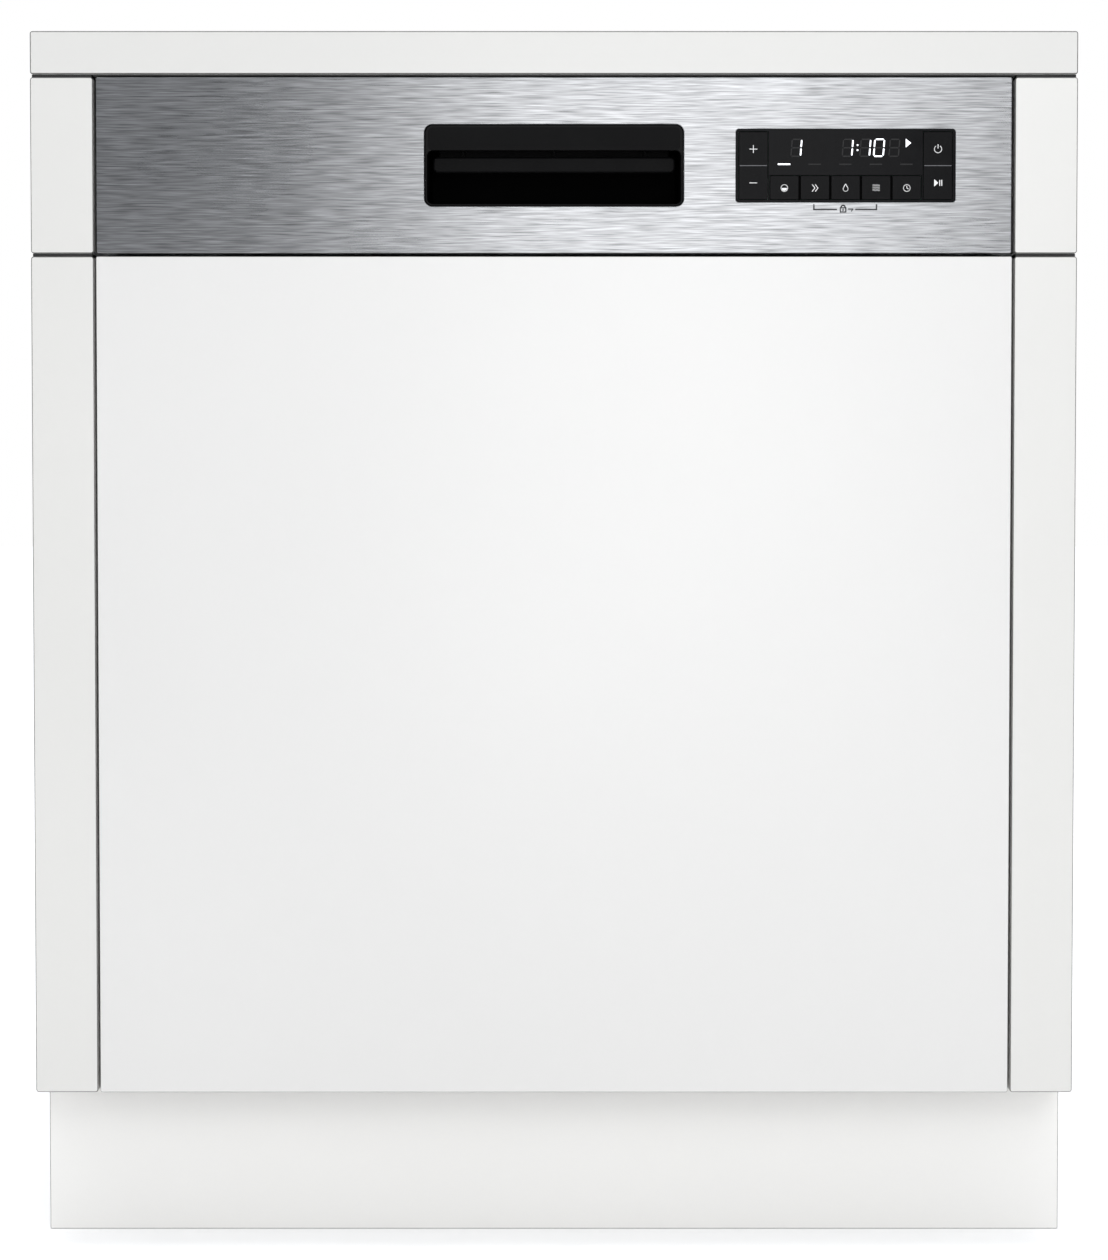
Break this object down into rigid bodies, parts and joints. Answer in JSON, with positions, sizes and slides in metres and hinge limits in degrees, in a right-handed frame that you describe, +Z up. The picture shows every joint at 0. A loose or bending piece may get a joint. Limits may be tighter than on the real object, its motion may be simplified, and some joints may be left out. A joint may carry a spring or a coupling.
{
  "type": "built-in dishwasher",
  "caption": "Half-integrated built-in dishwasher in a white kitchen housing: steel control fascia with finger grip and key panel, drop-down door, two sliding racks and turning spray arms.",
  "frame": {"origin": "middle of the footprint, on the floor", "axes": "+X to the right when facing the front, +Y from the front towards the wall, +Z up; the front plane is at y = -0.300 m"},
  "size_m": [0.684, 0.6, 0.8],
  "materials": {
    "worktop_laminate": "white laminate on board",
    "white_board": "white satin lacquer on board",
    "white_front": "white satin lacquer on board",
    "plinth_board": "white laminate on board",
    "brushed_fascia": "long horizontal brushing",
    "black_plastic": "fine grain",
    "dark_plastic": "moulded",
    "gloss_black": "gloss",
    "circuit_board": "solder mask",
    "galvanised_steel": "galvanised",
    "stainless_inside": "bright rolled",
    "dispenser_grey": "satin",
    "cap_blue": "satin",
    "spring_steel": "oiled wire",
    "door_seal": "extruded",
    "felt": "needled felt",
    "grey_plastic": "moulded",
    "pale_plastic": "moulded",
    "rotor_steel": "turned",
    "coated_wire": "nylon-coated wire"
  },
  "bodies": {
    "housing": {"worktop": "worktop_laminate", "upper_stiles": "white_board", "lower_stiles": "white_board", "end_panels": "white_board", "plinth": "plinth_board", "hinge_brackets": "galvanised_steel", "balance_springs": "spring_steel", "frame_struts": "galvanised_steel", "door_strike": "galvanised_steel", "tub": "stainless_inside", "tub_gasket": "door_seal", "insulation_jacket": "felt", "base_tray": "dark_plastic", "levelling_feet": "dark_plastic", "sump": "dark_plastic", "filter_plate": "stainless_inside", "pump_housing": "pale_plastic", "pump_motor": "dark_plastic", "drain_pump": "dark_plastic", "softener_tank": "pale_plastic", "inlet_chamber": "pale_plastic", "inlet_valve": "pale_plastic", "feed_pipe": "pale_plastic", "rack_rails": "galvanised_steel"},
    "door": {"furniture_door": "white_front", "fascia": "brushed_fascia", "control_housing": "black_plastic", "handle_recess": "black_plastic", "latch_module": "dark_plastic", "display_panel": "gloss_black", "control_board": "circuit_board", "outer_door": "galvanised_steel", "inner_door": "stainless_inside", "hinge_arms": "galvanised_steel", "dispenser": "dispenser_grey"},
    "upper_rack": {"upper_rack": "coated_wire", "upper_feed_tube": "pale_plastic"},
    "lower_rack": {"lower_rack": "coated_wire", "cutlery_basket": "grey_plastic"},
    "latch_lever": {"latch_lever": "black_plastic"},
    "rocker_left": {"rocker_left": "gloss_black"},
    "rocker_right": {"rocker_right": "gloss_black"},
    "key_1": {"key_1": "gloss_black"},
    "key_2": {"key_2": "gloss_black"},
    "key_3": {"key_3": "gloss_black"},
    "key_4": {"key_4": "gloss_black"},
    "key_5": {"key_5": "gloss_black"},
    "detergent_lid": {"detergent_lid": "dispenser_grey"},
    "rinse_aid_cap": {"rinse_aid_cap": "cap_blue"},
    "front_rollers": {"front_rollers": "pale_plastic"},
    "rear_rollers": {"rear_rollers": "pale_plastic"},
    "front_wheels": {"front_wheels": "grey_plastic"},
    "rear_wheels": {"rear_wheels": "grey_plastic"},
    "cup_shelf": {"cup_shelf": "grey_plastic"},
    "fold_tines": {"fold_tines": "coated_wire"},
    "lower_spray_arm": {"lower_spray_arm": "grey_plastic"},
    "upper_spray_arm": {"upper_spray_arm": "grey_plastic"},
    "filter_cup": {"filter_cup": "grey_plastic"},
    "salt_cap": {"salt_cap": "pale_plastic"},
    "pump_rotor": {"pump_rotor": "rotor_steel"}
  },
  "joints": [
    {"name": "door_hinge", "type": "hinge", "parent": "housing", "child": "door", "pos_m": [0, -0.27, 0.1455], "axis": [1, 0, 0], "range_deg": [0, 90], "stiffness_Nm_per_rad": 26, "deforming": ["balance_springs"]},
    {"name": "latch_lever_pull", "type": "hinge", "parent": "door", "child": "latch_lever", "pos_m": [0, -0.27, 0.744], "axis": [-1, 0, 0], "range_deg": [0, 12], "stiffness_Nm_per_rad": 0.4, "springref_deg": -8.59},
    {"name": "rocker_left_press", "type": "hinge", "parent": "door", "child": "rocker_left", "pos_m": [0.1302, -0.2956, 0.71255], "axis": [1, 0, 0], "range_deg": [-2.5, 2.5], "stiffness_Nm_per_rad": 0.8},
    {"name": "rocker_right_press", "type": "hinge", "parent": "door", "child": "rocker_right", "pos_m": [0.2508, -0.2956, 0.71255], "axis": [1, 0, 0], "range_deg": [-2.5, 2.5], "stiffness_Nm_per_rad": 0.8},
    {"name": "key_1_press", "type": "slide", "parent": "door", "child": "key_1", "axis": [0, 1, 0], "range_m": [0, 0.0008], "stiffness_N_per_m": 1500, "springref_m": -0.0004},
    {"name": "key_2_press", "type": "slide", "parent": "door", "child": "key_2", "axis": [0, 1, 0], "range_m": [0, 0.0008], "stiffness_N_per_m": 1500, "springref_m": -0.0004},
    {"name": "key_3_press", "type": "slide", "parent": "door", "child": "key_3", "axis": [0, 1, 0], "range_m": [0, 0.0008], "stiffness_N_per_m": 1500, "springref_m": -0.0004},
    {"name": "key_4_press", "type": "slide", "parent": "door", "child": "key_4", "axis": [0, 1, 0], "range_m": [0, 0.0008], "stiffness_N_per_m": 1500, "springref_m": -0.0004},
    {"name": "key_5_press", "type": "slide", "parent": "door", "child": "key_5", "axis": [0, 1, 0], "range_m": [0, 0.0008], "stiffness_N_per_m": 1500, "springref_m": -0.0004},
    {"name": "detergent_lid_slide", "type": "slide", "parent": "door", "child": "detergent_lid", "axis": [0, 0, -1], "range_m": [0, 0.055]},
    {"name": "rinse_aid_cap_turn", "type": "hinge", "parent": "door", "child": "rinse_aid_cap", "pos_m": [0.05, -0.248, 0.515], "axis": [0, 1, 0], "range_deg": [0, 90]},
    {"name": "upper_rack_slide", "type": "slide", "parent": "housing", "child": "upper_rack", "axis": [0, -1, 0], "range_m": [0, 0.402]},
    {"name": "lower_rack_slide", "type": "slide", "parent": "housing", "child": "lower_rack", "axis": [0, -1, 0], "range_m": [0, 0.166]},
    {"name": "front_rollers_turn", "type": "hinge", "parent": "housing", "child": "front_rollers", "pos_m": [0, -0.215, 0.491], "axis": [1, 0, 0], "continuous": true},
    {"name": "rear_rollers_turn", "type": "hinge", "parent": "upper_rack", "child": "rear_rollers", "pos_m": [0, 0.215, 0.508], "axis": [1, 0, 0], "continuous": true},
    {"name": "front_wheels_turn", "type": "hinge", "parent": "lower_rack", "child": "front_wheels", "pos_m": [0, -0.135, 0.197], "axis": [1, 0, 0], "continuous": true},
    {"name": "rear_wheels_turn", "type": "hinge", "parent": "lower_rack", "child": "rear_wheels", "pos_m": [0, 0.16, 0.197], "axis": [1, 0, 0], "continuous": true},
    {"name": "cup_shelf_fold", "type": "hinge", "parent": "upper_rack", "child": "cup_shelf", "pos_m": [-0.238, 0, 0.532], "axis": [0, -1, 0], "range_deg": [0, 85]},
    {"name": "tines_fold", "type": "hinge", "parent": "lower_rack", "child": "fold_tines", "pos_m": [0, 0.1, 0.233], "axis": [1, 0, 0], "range_deg": [0, 85]},
    {"name": "lower_spray_arm_turn", "type": "hinge", "parent": "housing", "child": "lower_spray_arm", "pos_m": [0, 0.01, 0.21], "axis": [0, 0, 1], "continuous": true},
    {"name": "upper_spray_arm_turn", "type": "hinge", "parent": "upper_rack", "child": "upper_spray_arm", "pos_m": [0, 0.01, 0.465], "axis": [0, 0, 1], "continuous": true},
    {"name": "filter_cup_turn", "type": "hinge", "parent": "housing", "child": "filter_cup", "pos_m": [0.105, 0.01, 0.18], "axis": [0, 0, 1], "range_deg": [0, 45]},
    {"name": "salt_cap_turn", "type": "hinge", "parent": "housing", "child": "salt_cap", "pos_m": [0.218, -0.1, 0.184], "axis": [0, 0, 1], "range_deg": [0, 360]},
    {"name": "pump_rotor_spin", "type": "hinge", "parent": "housing", "child": "pump_rotor", "pos_m": [-0.15, 0.01, 0.105], "axis": [1, 0, 0], "continuous": true}
  ],
  "couplings": [
    {"joint": "upper_rack_slide", "follows": "door_hinge", "m_per_rad": 0.255},
    {"joint": "lower_rack_slide", "follows": "door_hinge", "m_per_rad": 0.105},
    {"joint": "front_rollers_turn", "follows": "door_hinge", "ratio": 31.875},
    {"joint": "rear_rollers_turn", "follows": "door_hinge", "ratio": 26.562},
    {"joint": "front_wheels_turn", "follows": "door_hinge", "ratio": 5.8333},
    {"joint": "rear_wheels_turn", "follows": "door_hinge", "ratio": 5.8333}
  ]
}
